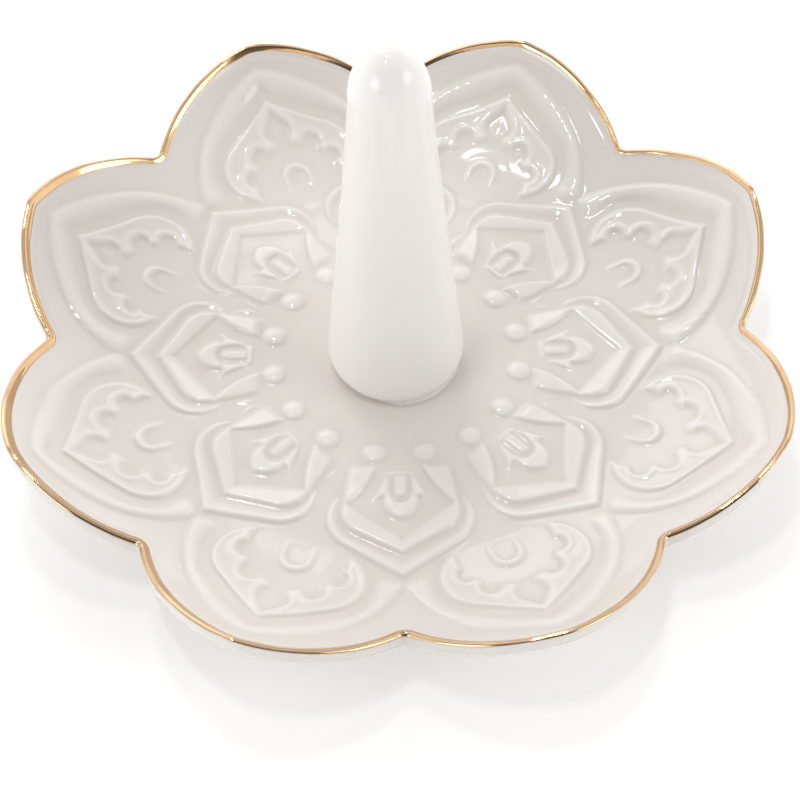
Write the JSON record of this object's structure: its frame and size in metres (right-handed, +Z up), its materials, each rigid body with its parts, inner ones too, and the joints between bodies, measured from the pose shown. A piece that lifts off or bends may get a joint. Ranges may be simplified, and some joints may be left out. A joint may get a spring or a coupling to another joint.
{
  "type": "ring dish",
  "caption": "Shallow porcelain tray with lotus petals in relief, a gold edge and a tapered upright finger that holds rings.",
  "frame": {"origin": "centre of the foot ring, on the surface that the dish stands on", "axes": "+Z up along the ring finger, +X through a notch between two petals, the finger leans slightly towards -X"},
  "size_m": [0.0906, 0.0906, 0.0546],
  "materials": {
    "glazed_porcelain": "clear gloss glaze over pressed white porcelain",
    "finger_porcelain": "clear gloss glaze over slip-cast white porcelain",
    "glazed_slip": "clear gloss glaze over a wiped slip joint",
    "gold_lustre": "bright gold lustre, brushed on by hand and fired",
    "bare_bisque": "matt, wiped free of glaze before firing"
  },
  "bodies": {
    "root": {"dish": "glazed_porcelain", "ring_finger": "finger_porcelain", "slip_fillet": "glazed_slip", "gold_rim": "gold_lustre", "foot_ring": "bare_bisque"}
  },
  "joints": []
}
